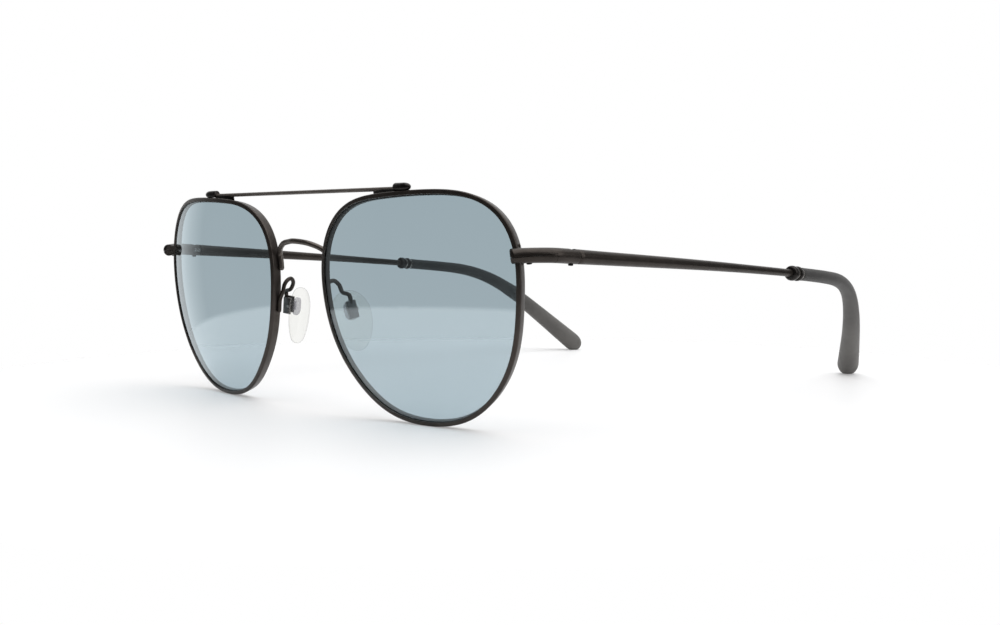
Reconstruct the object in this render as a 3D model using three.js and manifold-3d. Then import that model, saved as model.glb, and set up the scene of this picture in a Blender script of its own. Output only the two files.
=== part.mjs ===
// Aviator sunglasses, open, resting on the two eyewires and the two temple tips.
// Millimetres. +Z up, front of the face -Y, wearer's left +X, origin on the table under the
// middle of the glasses. Pieces are modelled for the left side, upright with the lens centres
// at z = 0, then mirrored and leaned into the resting pose.
import * as THREE from 'three';
import { mergeVertices } from 'three/addons/utils/BufferGeometryUtils.js';
import Module from 'manifold-3d';

const wasm = await Module();
wasm.setup();

const radians = degrees => degrees * Math.PI / 180;
const vec = (x, y, z) => new THREE.Vector3(x, y, z);

// ---------- resting pose ----------
const LEAN = 0.1110;      // radians about X
const FLOOR_Z = -23.07;   // plane of the four resting flats in the leaned pose
const MIDDLE_Y = 73.699;  // middle of the leaned glasses

// ---------- materials ----------
const material = settings => () => new THREE.MeshStandardMaterial(settings);
const gunmetal = material({ color: 0x3a3633, roughness: 0.42, metalness: 0.85 });
const darkMetal = material({ color: 0x2c2a29, roughness: 0.5, metalness: 0.8 });
const brightMetal = material({ color: 0x8f8c88, roughness: 0.3, metalness: 1.0 });
const rubber = material({ color: 0x3b3a3c, roughness: 0.85, metalness: 0.0 });
const glass = material({
  color: 0x9db3bd, roughness: 0.05, metalness: 0.0, transparent: true, opacity: 0.45,
});
const silicone = material({
  color: 0xe6e6e2, roughness: 0.35, metalness: 0.0, transparent: true, opacity: 0.4,
});
const padCoreMaterial = material({ color: 0xa9abb0, roughness: 0.5, metalness: 0.2 });

// ---------- skins over rings of points ----------
function reverseTriangles(index) {
  for (let i = 0; i < index.length; i += 3) {
    [index[i], index[i + 1]] = [index[i + 1], index[i]];
  }
}

function signedVolume(points, index) {
  let sum = 0;
  for (let i = 0; i < index.length; i += 3) {
    const [a, b, c] = [0, 1, 2].map(k => points[index[i + k]]);
    sum += a.dot(b.clone().cross(c));
  }
  return sum / 6;
}

// indexed geometry with its triangles facing outwards
function meshFrom(points, index) {
  if (signedVolume(points, index) < 0) reverseTriangles(index);
  const result = new THREE.BufferGeometry();
  const coordinates = points.flatMap(point => point.toArray());
  result.setAttribute('position', new THREE.Float32BufferAttribute(coordinates, 3));
  result.setIndex(index);
  return result;
}

// triangles between neighbouring rings, and from the last ring to the first if closed
function sideTriangles(rings, closed = false) {
  const count = rings[0].length;
  const index = [];
  for (let i = 0; i < (closed ? rings.length : rings.length - 1); i++) {
    const row = i * count;
    const nextRow = ((i + 1) % rings.length) * count;
    for (let j = 0; j < count; j++) {
      const k = (j + 1) % count;
      index.push(row + j, row + k, nextRow + k, row + j, nextRow + k, nextRow + j);
    }
  }
  return index;
}

function profileCap(profile) {
  const outline = profile.map(([x, y]) => new THREE.Vector2(x, y));
  const faces = THREE.ShapeUtils.triangulateShape(outline, []);
  return THREE.ShapeUtils.area(outline) < 0 ? faces.map(([a, b, c]) => [a, c, b]) : faces;
}

const fanCap = count => Array.from({ length: count - 2 }, (_, k) => [0, k + 1, k + 2]);

// closed skin over a row of rings; a ring that is not convex gives its flat profile for the ends
function loft(rings, profile = null) {
  const count = rings[0].length;
  const last = (rings.length - 1) * count;
  const index = sideTriangles(rings);
  for (const [a, b, c] of profile ? profileCap(profile) : fanCap(count)) {
    index.push(a, c, b, last + a, last + b, last + c);
  }
  return meshFrom(rings.flat(), index);
}

// skin over a row of rings, closed at each end by a fan to a pole point
function dome(rings, startPole, endPole) {
  const count = rings[0].length;
  const last = (rings.length - 1) * count;
  const start = rings.length * count;
  const index = sideTriangles(rings);
  for (let j = 0; j < count; j++) {
    const k = (j + 1) % count;
    index.push(start, k, j, start + 1, last + j, last + k);
  }
  return meshFrom([...rings.flat(), startPole, endPole], index);
}

const hoop = rings => meshFrom(rings.flat(), sideTriangles(rings, true));

function ellipse(centre, axisA, axisB, radiusA, radiusB, segments) {
  return Array.from({ length: segments }, (_, j) => {
    const angle = 2 * Math.PI * j / segments;
    return centre.clone()
      .addScaledVector(axisA, radiusA * Math.cos(angle))
      .addScaledVector(axisB, radiusB * Math.sin(angle));
  });
}

// tube through stations of {point, direction, across, upright}, the last two being half sizes
function tube(stations, segments = 12) {
  return loft(stations.map(({ point, direction, across, upright }) => {
    const side = vec(0, 0, 1).cross(direction).negate().normalize();
    const up = side.clone().cross(direction).normalize();
    return ellipse(point, side, up, across, upright, segments);
  }));
}

// round wire along a smooth curve through points
function wire(points, radius, steps, segments) {
  const curve = new THREE.CatmullRomCurve3(points, false, 'centripetal');
  const { normals, binormals } = curve.computeFrenetFrames(steps, false);
  return loft(normals.map((normal, i) =>
    ellipse(curve.getPointAt(i / steps), normal, binormals[i], radius, radius, segments)));
}

// ---------- simple bodies ----------
const box = (x0, x1, y0, y1, z0, z1) => new THREE.BoxGeometry(x1 - x0, y1 - y0, z1 - z0)
  .translate((x0 + x1) / 2, (y0 + y1) / 2, (z0 + z1) / 2);

const rodAlongX = (radius, x0, x1, y, z, segments) =>
  new THREE.CylinderGeometry(radius, radius, x1 - x0, segments)
    .rotateZ(Math.PI / 2).translate((x0 + x1) / 2, y, z);

const rodAlongZ = (radius, length, segments) =>
  new THREE.CylinderGeometry(radius, radius, length, segments).rotateX(Math.PI / 2);

// a turned piece about +Z from a list of [radius, z]
const turned = (profile, segments) =>
  new THREE.LatheGeometry(profile.map(([x, y]) => new THREE.Vector2(x, y)), segments)
    .rotateX(Math.PI / 2);

// an outline of [x, y] extruded from z0 to z1
function prism(outline, z0, z1) {
  const shape = new THREE.Shape(outline.map(([x, y]) => new THREE.Vector2(x, y)));
  return new THREE.ExtrudeGeometry(shape, { depth: z1 - z0, bevelEnabled: false })
    .translate(0, 0, z0);
}

// ---------- solid operations ----------
function solid(source) {
  const bare = source.clone();
  for (const key of Object.keys(bare.attributes)) {
    if (key !== 'position') bare.deleteAttribute(key);
  }
  const welded = mergeVertices(bare, 1e-5);
  return new wasm.Manifold(new wasm.Mesh({
    numProp: 3,
    vertProperties: new Float32Array(welded.attributes.position.array),
    triVerts: new Uint32Array(welded.index.array),
  }));
}

function geometry(body) {
  const { vertProperties, triVerts } = body.getMesh();
  const result = new THREE.BufferGeometry();
  result.setAttribute('position', new THREE.BufferAttribute(new Float32Array(vertProperties), 3));
  result.setIndex(Array.from(triVerts));
  return result;
}

const cut = (body, ...tools) =>
  geometry(tools.reduce((rest, tool) => rest.subtract(solid(tool)), solid(body)));
const join = (a, b) => geometry(solid(a).add(solid(b)));
const common = (a, b) => geometry(solid(a).intersect(solid(b)));
const place = (body, matrix) => body.clone().applyMatrix4(matrix);
const frameMatrix = (x, y, z, origin) =>
  new THREE.Matrix4().makeBasis(x, y, z).setPosition(origin);

function mirrored(body) {
  const result = body.clone().scale(-1, 1, 1);
  reverseTriangles(result.index.array);
  return result;
}

// ---------- eyewire outline on the curved front ----------
const LENS_X = 35.52;             // lens centre from the bridge centre
const FACE_FORM = radians(6.727); // turn of each lens about Z
const LENS_CURVE_R = 88;          // base curve radius of the front
const OUTLINE_MEAN_R = 24.738;
// [cosine, sine] terms of the outline radius, for 1 to 7 waves a turn
const OUTLINE_WAVES = [
  [0.358, 1.245], [1.276, -0.227], [-0.215, 1.365], [-0.837, -0.082],
  [-0.055, -0.063], [-0.118, 0.005], [0.009, -0.157],
];
const OUTLINE_STEPS = 48;
const SPLIT_ANGLE = radians(22.7); // where the eyewire is split, up from the outer side
const SPLIT_GAP = radians(0.45);

function outlineRadius(angle) {
  return OUTLINE_WAVES.reduce((radius, [cosine, sine], i) =>
    radius + cosine * Math.cos((i + 1) * angle) + sine * Math.sin((i + 1) * angle),
  OUTLINE_MEAN_R);
}

function turnToFace(x, y, z) {
  const cosine = Math.cos(FACE_FORM);
  const sine = Math.sin(FACE_FORM);
  return vec(x * cosine - y * sine, x * sine + y * cosine, z);
}

// point and forward normal of the front sphere, across and up from the lens centre
function onSphere(across, up) {
  const sag = LENS_CURVE_R - Math.sqrt(LENS_CURVE_R ** 2 - across * across - up * up);
  const point = turnToFace(across, sag, up).add(vec(LENS_X, 0, 0));
  const forward = turnToFace(across, sag - LENS_CURVE_R, up).divideScalar(LENS_CURVE_R);
  return { point, forward };
}

function outlinePoint(angle, scale = 1) {
  const radius = outlineRadius(angle) * scale;
  return onSphere(radius * Math.cos(angle), radius * Math.sin(angle));
}

// frame on the outline: its point, forward normal and direction out of the lens
function outlineFrame(angle) {
  const { point, forward } = outlinePoint(angle);
  const nudge = 1e-3;
  const tangent = outlinePoint(angle + nudge).point.sub(outlinePoint(angle - nudge).point);
  const outward = tangent.normalize().cross(forward).normalize();
  if (outward.dot(turnToFace(Math.cos(angle), 0, Math.sin(angle))) < 0) outward.negate();
  return { angle, point, forward, outward };
}

const offsetPoint = (frame, out, ahead) => frame.point.clone()
  .addScaledVector(frame.outward, out).addScaledVector(frame.forward, ahead);

const splitStart = SPLIT_ANGLE + SPLIT_GAP / 2;
const splitSweep = 2 * Math.PI - SPLIT_GAP;
const rimFrames = Array.from({ length: OUTLINE_STEPS + 1 },
  (_, i) => outlineFrame(splitStart + splitSweep * i / OUTLINE_STEPS));
const ringFromProfile = (frame, profile) =>
  profile.map(([out, ahead]) => offsetPoint(frame, out, ahead));

// ---------- eyewire ----------
const RIM_W = 0.98;         // radial width
const RIM_D = 2.45;         // depth front to back
const RIM_CHAMFER = 0.2;
const GROOVE_FRONT = -0.70; // flanks of the lens groove, measured forward
const GROOVE_BACK = -1.60;
const GROOVE_DEPTH = 0.44;
// [outward, forward]
const RIM_PROFILE = [
  [0, 0], [RIM_W - RIM_CHAMFER, 0], [RIM_W, -RIM_CHAMFER],
  [RIM_W, -RIM_D + RIM_CHAMFER], [RIM_W - RIM_CHAMFER, -RIM_D], [0, -RIM_D],
  [0, GROOVE_BACK], [GROOVE_DEPTH, GROOVE_BACK], [GROOVE_DEPTH, GROOVE_FRONT], [0, GROOVE_FRONT],
];
const ENVELOPE_GAP = 0.05;
const ENVELOPE_PROFILE = [
  [-0.3, ENVELOPE_GAP], [RIM_W + ENVELOPE_GAP, ENVELOPE_GAP],
  [RIM_W + ENVELOPE_GAP, -RIM_D - ENVELOPE_GAP], [-0.3, -RIM_D - ENVELOPE_GAP],
];

const makeRim = () =>
  loft(rimFrames.map(frame => ringFromProfile(frame, RIM_PROFILE)), RIM_PROFILE);

// envelope of the eyewire, used to shape the pieces that meet it
const rimEnvelope = hoop(rimFrames.map(frame => ringFromProfile(frame, ENVELOPE_PROFILE)));
const cutByBothRims = body => cut(body, rimEnvelope, mirrored(rimEnvelope));

// point beside the eyewire, clear of its outer edge
const besideRim = (degrees, gap, ahead) =>
  offsetPoint(outlineFrame(radians(degrees)), RIM_W + gap, ahead);

// ---------- lens ----------
const LENS_FRONT = -0.55; // faces, measured forward from the front of the eyewire
const LENS_BACK = -1.95;
const LENS_EDGE_FRONT = GROOVE_FRONT - 0.05;
const LENS_EDGE_BACK = GROOVE_BACK + 0.05;
const LENS_EDGE_OUT = GROOVE_DEPTH - 0.07;

function makeLens() {
  const frames = rimFrames.slice(0, OUTLINE_STEPS);
  const shifted = ({ point, forward }, ahead) => point.addScaledVector(forward, ahead);
  const faceRing = (scale, ahead) =>
    frames.map(({ angle }) => shifted(outlinePoint(angle, scale), ahead));
  const edgeRing = (out, ahead) => frames.map(frame => offsetPoint(frame, out, ahead));
  return dome([
    faceRing(0.35, LENS_FRONT), faceRing(0.7, LENS_FRONT), edgeRing(-0.35, LENS_FRONT),
    edgeRing(-0.05, LENS_EDGE_FRONT), edgeRing(LENS_EDGE_OUT, LENS_EDGE_FRONT),
    edgeRing(LENS_EDGE_OUT, LENS_EDGE_BACK), edgeRing(-0.05, LENS_EDGE_BACK),
    edgeRing(-0.35, LENS_BACK), faceRing(0.7, LENS_BACK), faceRing(0.35, LENS_BACK),
  ], shifted(onSphere(0, 0), LENS_FRONT), shifted(onSphere(0, 0), LENS_BACK));
}

// ---------- bridge ----------
const BRIDGE_R = 0.59;
// left half of the bridge wire, from the middle
const BRIDGE_POINTS = [
  [0, 1.08, 13.76], [2.2, 1.53, 13.56], [4.4, 1.84, 13.2], [6.4, 2.52, 12.48], [7.7, 3.0, 11.75],
];
// where it runs along the eyewire: [degrees round the outline, forward]
const BRIDGE_ENDS = [[157.6, -1.95], [160.5, -2.0], [163.6, -2.0]];

function makeBridge() {
  const left = [
    ...BRIDGE_POINTS.map(point => vec(...point)),
    ...BRIDGE_ENDS.map(([degrees, ahead]) => besideRim(degrees, BRIDGE_R + 0.04, ahead)),
  ];
  const right = left.slice(1).reverse().map(({ x, y, z }) => vec(-x, y, z));
  return cutByBothRims(wire([...right, ...left], BRIDGE_R, 24, 10));
}

// ---------- brow bar ----------
const BAR_R = 0.42;
const BAR_Y = 4.0;
const BAR_Z = 23.93;
const BAR_HALF = 34.6;
const CAP_R = 0.85;
const CAP_X0 = 32.1;
const CAP_LENGTH = 4.5;
const CAP_Z = 24.23;
// [radius, distance from the inner end]
const CAP_PROFILE = [
  [0, 0], [CAP_R - 0.12, 0], [CAP_R, 0.14], [CAP_R, CAP_LENGTH * 0.6],
  [CAP_R * 0.93, CAP_LENGTH * 0.74], [CAP_R * 0.76, CAP_LENGTH * 0.87],
  [CAP_R * 0.45, CAP_LENGTH * 0.965], [0, CAP_LENGTH],
];
const LUG_BOTTOM_Z = 22.3;
const LUG_SECTIONS = [[25.6, 0.03], [26.2, 0.42], [32.05, 0.62]]; // [x, half depth]

const barRod = (radius, half) => rodAlongX(radius, -half, half, BAR_Y, BAR_Z, 14);
const barRoom = barRod(BAR_R + 0.04, BAR_HALF + 0.05);
const makeBrowBar = () => cutByBothRims(barRod(BAR_R, BAR_HALF));

function makeBarCap() {
  const body = turned(CAP_PROFILE, 14).rotateY(Math.PI / 2).translate(CAP_X0, BAR_Y, CAP_Z);
  return cut(body, barRoom, rimEnvelope);
}

function makeBarLug() {
  const body = loft(LUG_SECTIONS.map(([x, half]) => [
    vec(x, BAR_Y - half, LUG_BOTTOM_Z), vec(x, BAR_Y + half, LUG_BOTTOM_Z),
    vec(x, BAR_Y + half, BAR_Z), vec(x, BAR_Y - half, BAR_Z),
  ]));
  return cut(body, barRoom, rimEnvelope);
}

// ---------- temple path ----------
const HINGE = vec(65.9, 16.6, 9.3);
const TEMPLE_L = 145.4; // hinge axis to tip end along the temple
const PATH_STEP = 0.1;
// [distance from the hinge, degrees below level]
const PITCH = [
  [0, 9.9], [25, 9.94], [40, 10.29], [50, 10.59], [60, 10.75], [70, 10.92], [80, 11.26],
  [86, 11.74], [91, 12.44], [94, 14.18], [97, 17.51], [100, 21.12], [103, 24.87], [106, 29.06],
  [109, 33.06], [112, 36.67], [115, 40.33], [119, 43.27], [125, 44.41], [132, 44.94],
  [TEMPLE_L, 45.01],
];
// [distance from the hinge, degrees turned in towards the head]
const YAW = [
  [0, -2.8], [30, -2.78], [42, -2.2], [55, -1.04], [65, -0.29], [75, 0.86], [80, 2.31],
  [85, 4.78], [90, 7.83], [95, 11.05], [100, 14.84], [105, 19.37], [110, 23.9], [115, 27.66],
  [122, 32.01], [130, 35.3], [TEMPLE_L, 37.11],
];

// values of a table at a distance given by its first column, held constant past its ends
function interpolate(table, distance) {
  const next = table.findIndex(([end], i) => i > 0 && distance <= end);
  if (next < 0) return table.at(-1).slice(1);
  const [start, ...from] = table[next - 1];
  const [end, ...to] = table[next];
  const fraction = Math.max(0, (distance - start) / (end - start));
  return from.map((value, k) => value + fraction * (to[k] - value));
}

function templeDirection(distance) {
  const pitch = radians(interpolate(PITCH, distance)[0]);
  const yaw = radians(interpolate(YAW, distance)[0]);
  return vec(-Math.sin(yaw) * Math.cos(pitch), Math.cos(yaw) * Math.cos(pitch), -Math.sin(pitch));
}

const templePath = [HINGE.clone()];
for (let along = 0; along < TEMPLE_L + 1; along += PATH_STEP) {
  const direction = templeDirection(along + PATH_STEP / 2);
  templePath.push(templePath.at(-1).clone().addScaledVector(direction, PATH_STEP));
}

function onTemple(distance) {
  const i = Math.floor(distance / PATH_STEP + 1e-9);
  const fraction = Math.max(0, distance / PATH_STEP - i);
  return templePath[i].clone().lerp(templePath[Math.min(i + 1, templePath.length - 1)], fraction);
}

const templeStation = (distance, across, upright = across) =>
  ({ point: onTemple(distance), direction: templeDirection(distance), across, upright });

// hinge frame: x outwards, y back along the temple, z along the fold axis
const hingeY = templeDirection(0);
const hingeX = hingeY.clone().cross(vec(0, 0, 1)).normalize();
const hingeZ = hingeX.clone().cross(hingeY).normalize();
const hingeMatrix = frameMatrix(hingeX, hingeY, hingeZ, HINGE);
const fromHinge = distance => HINGE.clone().addScaledVector(hingeY, distance);

// ---------- endpiece and closing block ----------
const TEMPLE_R = 1.43;     // round bar at the hinge
const FORK_END = 1.40;
const EAR_R = 1.42;        // rounding of the fork ends
const SLOT_HALF = 0.62;
const SLOT_OUT = 0.98;     // the slot stops short of the outer side
const HINGE_SCREW_R = 0.50;
const SPLIT_Z = 10.39;     // top and back of the closing block
const BLOCK_BACK_Y = 12.0;
const BLOCK_GAP = 0.06;
const BAR_START = vec(60.71, 6.08, 10.59);
const BAR_STEPS = 6;

const barCurve =
  new THREE.CubicBezierCurve3(BAR_START, vec(61.75, 8.2, 10.5), fromHinge(-6.4), fromHinge(-3.0));

// round bar from the eyewire to the hinge, cut to the eyewire
function makeShapedBar() {
  const station = (point, direction, radius) =>
    ({ point, direction, across: radius, upright: radius });
  const startDirection = barCurve.getTangent(0);
  const beforeStart = (distance, radius) => station(
    BAR_START.clone().addScaledVector(startDirection, -distance), startDirection, radius);
  const body = tube([
    beforeStart(0.28, 0.95), beforeStart(0.2, 1.25),
    ...Array.from({ length: BAR_STEPS + 1 }, (_, i) => station(
      barCurve.getPoint(i / BAR_STEPS), barCurve.getTangent(i / BAR_STEPS), TEMPLE_R)),
    station(fromHinge(FORK_END), hingeY, TEMPLE_R),
  ], 14);
  const aperture = loft([-7, 4].map(ahead => Array.from({ length: OUTLINE_STEPS },
    (_, i) => offsetPoint(outlineFrame(2 * Math.PI * i / OUTLINE_STEPS), 0, ahead))));
  return cut(body, aperture, rimEnvelope);
}

const shapedBar = makeShapedBar();
const blockBox = gap => box(50, 80, -10, BLOCK_BACK_Y + gap, 0, SPLIT_Z + gap);

// closing screw: straight up from below the bar
const lockPoint = barCurve.getPoint(0.385);
const LOCK_Z0 = lockPoint.z - TEMPLE_R - 0.22;
const lockMatrix = new THREE.Matrix4().makeTranslation(lockPoint.x - 0.1, lockPoint.y, 0);
const LOCK_SCREW_PROFILE = [
  [0, LOCK_Z0], [0.42, LOCK_Z0], [0.56, LOCK_Z0 + 0.12], [0.56, LOCK_Z0 + 0.55],
  [0.38, LOCK_Z0 + 0.56], [0.38, 11.3], [0, 11.3],
];
const LOCK_HOLE_PROFILE = [
  [0, 5], [0.6, 5], [0.6, LOCK_Z0 + 0.6], [0.42, LOCK_Z0 + 0.61], [0.42, 11.38], [0, 11.38],
];
const lockHole = place(turned(LOCK_HOLE_PROFILE, 12), lockMatrix);

function makeEndpiece() {
  const boreR = HINGE_SCREW_R + 0.03;
  const headR = 0.78;
  const headSeatZ = 0.91;
  const slot = box(-4, SLOT_OUT, -1.0, 4, -SLOT_HALF, SLOT_HALF);
  const earTrim = cut(box(-4, 0, 0, 4, -4, 4), rodAlongZ(EAR_R, 9, 24));
  const hole = turned(
    [[0, -4], [boreR, -4], [boreR, headSeatZ], [headR, headSeatZ], [headR, 4], [0, 4]], 14);
  const hingeCuts = [slot, earTrim, hole].map(tool => place(tool, hingeMatrix));
  return cut(shapedBar, blockBox(BLOCK_GAP), ...hingeCuts, lockHole);
}

const makeClosingBlock = () => cut(common(shapedBar, blockBox(0)), lockHole);

function makeClosingScrew() {
  const driverSlot = box(-0.7, 0.7, -0.09, 0.09, LOCK_Z0 - 1, LOCK_Z0 + 0.16);
  return place(cut(turned(LOCK_SCREW_PROFILE, 12), driverSlot), lockMatrix);
}

// ---------- hinge ----------
const TONGUE_HALF = 0.56;
const TONGUE_L = 6.0;
const KNUCKLE_R = 0.92;
const HINGE_SCREW_PROFILE = [
  [0, -1.78], [0.36, -1.78], [HINGE_SCREW_R, -1.66], [HINGE_SCREW_R, 0.95],
  [0.72, 0.95], [0.72, 1.12], [0.58, 1.24], [0, 1.26],
];

const makeHingeScrew = () =>
  place(cut(turned(HINGE_SCREW_PROFILE, 14), box(-1, 1, -0.1, 0.1, 1.08, 2)), hingeMatrix);

// hinge tongue, held in a slot in the temple's front end
function makeTongue() {
  const knuckle = rodAlongZ(KNUCKLE_R, 2 * TONGUE_HALF, 24);
  const shank = box(-0.85, 0.85, 0, TONGUE_L, -TONGUE_HALF, TONGUE_HALF);
  const holeR = HINGE_SCREW_R + 0.06;
  const hole = turned([[0, -3], [holeR, -3], [holeR, 3], [0, 3]], 14);
  return place(cut(join(knuckle, shank), hole), hingeMatrix);
}

// ---------- temple arm, collar and ring ----------
const ARM_START = 1.47;  // distances from the hinge axis along the temple
const COLLAR_START = 71.6;
const RING_START = COLLAR_START + 2.6;
const TIP_START = 75.9;
const CORE_END = 126;    // end of the bore in the tip
const INSIDE_TIP = [84, 91, 95, 99, 103, 107, 111, 115, 120];
// [distance, radius]
const ARM_RADII = [[3, 1.4], [8, 1.35], [20, 1.25], [40, 1.06], [55, 0.93], [69, 0.86]];
// [distance from COLLAR_START, radius]
const COLLAR_PROFILE = [
  [0, 1.2], [0.12, 1.46], [0.45, 1.67], [0.95, 1.72], [1.45, 1.67], [1.78, 1.5],
  [1.9, 1.35], [2.56, 1.35],
];
const RING_PROFILE = [
  [2.6, 1.4], [2.68, 1.58], [2.85, 1.68], [3.3, 1.68], [3.44, 1.6], [3.5, 1.42], [4.25, 1.42],
];

function makeArm() {
  const body = tube([
    templeStation(ARM_START, 1.42),
    ...[3, 8, 20, 30, 40, 48, 55, 62, 69].map(distance =>
      templeStation(distance, interpolate(ARM_RADII, distance)[0])),
    templeStation(COLLAR_START - 0.1, 0.86), templeStation(COLLAR_START - 0.05, 0.74),
    templeStation(TIP_START, 0.74), templeStation(TIP_START + 0.1, 0.62),
    ...INSIDE_TIP.map(distance => templeStation(distance, 0.56)),
    templeStation(124.9, 0.54), templeStation(125.2, 0.38),
  ]);
  const slotHalf = TONGUE_HALF + 0.05;
  const tongueSlot = box(-0.9, 0.9, 0, TONGUE_L + 0.06, -slotHalf, slotHalf);
  return cut(body, place(tongueSlot, hingeMatrix));
}

// sleeve round the arm, bored from start to end
function makeSleeve(profile, start, end) {
  const boreR = 0.8;
  const body = tube(profile.map(([distance, radius]) =>
    templeStation(COLLAR_START + distance, radius)));
  return cut(body, tube([templeStation(start - 0.5, boreR), templeStation(end + 0.5, boreR)]));
}

// ---------- temple tip ----------
const TIP_ROUND_START = 141;
// [distance, half width across, half height]
const TIP_SIZES = [
  [TIP_START, 1.36, 1.38], [TIP_START + 0.4, 1.44, 1.48], [78, 1.4, 1.47], [90, 1.46, 1.52],
  [103, 1.62, 1.7], [115, 1.94, 2.01], [130, 2.34, 2.4], [TIP_ROUND_START, 2.76, 2.73],
];

function makeTip() {
  const distances =
    [TIP_START, TIP_START + 0.4, 78, ...INSIDE_TIP, 125, 130, 135, 138, TIP_ROUND_START];
  const body = tube([
    ...distances.map(distance => templeStation(distance, ...interpolate(TIP_SIZES, distance))),
    ...[0.35, 0.62, 0.82, 0.95].map(fraction => {
      const scale = Math.sqrt(1 - fraction * fraction);
      const distance = TIP_ROUND_START + (TEMPLE_L - TIP_ROUND_START) * fraction;
      return templeStation(distance, 2.78 * scale, 2.75 * scale);
    }),
  ], 14);
  const bore = tube([
    templeStation(TIP_START - 1, 0.8), templeStation(TIP_START + 0.1, 0.72),
    ...[...INSIDE_TIP, CORE_END].map(distance => templeStation(distance, 0.68)),
  ]);
  return cut(body, bore);
}

// ---------- nose pad ----------
const PAD_CENTRE = vec(10.05, 7.95, -4.1);
const PAD_SPLAY = radians(26);
const PAD_LEN = 13.2;
const PAD_W = 8.5;
const PAD_T = 2.5;
const PIVOT_Y = -2.1; // axis of the pad screw in the pad frame
const PIVOT_Z = -2.45;
// half outline, top to bottom: [share of the length, share of the half width]
const PAD_OUTLINE = [
  [-0.5, 0], [-0.47, 0.33], [-0.4, 0.62], [-0.3, 0.86], [-0.16, 1.0], [0.0, 0.97],
  [0.15, 0.88], [0.28, 0.72], [0.39, 0.52], [0.46, 0.32], [0.5, 0],
];
// [scale of the outline, z]
const PAD_LAYERS = [
  [0.66, -PAD_T / 2 + 0.05], [0.9, -0.9], [1, -0.3], [0.97, 0.3], [0.82, 0.85], [0.5, PAD_T / 2],
];

// pad frame: x across, y down the pad, z to the nose
const padY = vec(0.247, 0.0, -0.969).normalize();
const padZ = vec(-Math.cos(PAD_SPLAY), Math.sin(PAD_SPLAY), 0);
padZ.addScaledVector(padY, -padZ.dot(padY)).normalize();
const padX = padY.clone().cross(padZ).normalize();
const padMatrix = frameMatrix(padX, padY, padZ, PAD_CENTRE);
const padScrewRod = radius => rodAlongX(radius, -3, 3, PIVOT_Y, PIVOT_Z, 12);

// the ends curve away from the nose
function padRing(scale, z) {
  const right = PAD_OUTLINE.map(([length, width]) => [
    width * PAD_W / 2 * scale, length * PAD_LEN * (1 - 0.5 * (1 - scale) * PAD_W / PAD_LEN),
  ]);
  const left = right.slice(1).reverse().map(([x, y]) => [-x, y]);
  return [...right.slice(0, -1), ...left].map(([x, y]) => vec(x, y, z - 0.005 * y * y));
}

// plate with a squared oval outline, grown by a gap
function padPlate(gap, z0, z1) {
  const squared = value => Math.sign(value) * Math.abs(value) ** 0.7;
  const outline = Array.from({ length: 16 }, (_, i) => {
    const angle = 2 * Math.PI * i / 16;
    return [(1.4 + gap) * squared(Math.cos(angle)),
      PIVOT_Y + (2.0 + gap) * squared(Math.sin(angle))];
  });
  return prism(outline, z0, z1);
}

function makeNosePad() {
  const body = loft(PAD_LAYERS.map(([scale, z]) => padRing(scale, z)));
  return place(cut(body, padPlate(0.04, -3, -0.36)), padMatrix);
}

// plate sunk in the pad, with a boss round the pad screw
function makePadCore() {
  // [y from the pivot, z]
  const profile = [
    [-1.0, -1.2], [-0.9, PIVOT_Z], [-0.62, PIVOT_Z - 0.5], [0, PIVOT_Z - 0.72],
    [0.62, PIVOT_Z - 0.5], [0.9, PIVOT_Z], [1.0, -1.2],
  ];
  const boss = loft([-0.55, 0.55].map(x =>
    profile.map(([y, z]) => vec(x, PIVOT_Y + y, z))), profile);
  return place(cut(join(padPlate(0, -1.22, -0.4), boss), padScrewRod(0.37)), padMatrix);
}

// ---------- pad box, screw and arm ----------
const PAD_ARM_R = 0.45;
const ARM_END_Y = PIVOT_Y - 1.9 - 0.03; // just above the pad box
// [x, y from the pivot]
const PAD_BOX_OUTLINE = [
  [-1.0, -1.7], [-0.8, -1.9], [0.8, -1.9], [1.0, -1.7],
  [1.0, 1.7], [0.8, 1.9], [-0.8, 1.9], [-1.0, 1.7],
];
const PAD_SCREW_PROFILE = [
  [0, -1.15], [0.32, -1.15], [0.32, 1.03], [0.52, 1.03], [0.52, 1.2], [0.4, 1.32], [0, 1.34],
];
// middle of the pad arm, from the eyewire to the pad
const PAD_ARM_POINTS = [
  [8.32, 2.95, 2.2], [8.12, 3.45, 3.75], [8.12, 4.4, 4.62], [8.3, 5.5, 4.78],
  [8.8, 6.3, 3.8], [9.85, 6.2, 2.3],
];

function makePadBox() {
  const outer = prism(PAD_BOX_OUTLINE.map(([x, y]) => [x, y + PIVOT_Y]), -3.8, -1.9);
  const channel = box(-0.64, 0.64, PIVOT_Y - 3, PIVOT_Y + 3, -3.4, 0);
  return place(cut(outer, channel, padScrewRod(0.36)), padMatrix);
}

function makePadScrew() {
  const body = turned(PAD_SCREW_PROFILE, 12)
    .rotateY(Math.PI / 2).translate(0, PIVOT_Y, PIVOT_Z);
  const driverSlot =
    box(1.2, 2, PIVOT_Y - 0.07, PIVOT_Y + 0.07, PIVOT_Z - 1, PIVOT_Z + 1);
  return place(cut(body, driverSlot), padMatrix);
}

function makePadArm() {
  const end = vec(0, ARM_END_Y, -3.42).applyMatrix4(padMatrix);
  const points = [
    besideRim(184, PAD_ARM_R + 0.05, -1.5), besideRim(178, PAD_ARM_R + 0.05, -1.6),
    ...PAD_ARM_POINTS.map(point => vec(...point)),
    end.clone().addScaledVector(padY, -1.15).addScaledVector(padZ, -0.12), end,
  ];
  const beyondEnd = place(box(-2, 2, ARM_END_Y, 9, -9, 9), padMatrix);
  return cut(wire(points, PAD_ARM_R, 20, 8), rimEnvelope, beyondEnd);
}

// ---------- assembly ----------
const group = new THREE.Group();
const lean = new THREE.Matrix4().makeRotationX(LEAN);
const underFloor = box(-300, 300, -300, 300, -300, FLOOR_Z);

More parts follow.
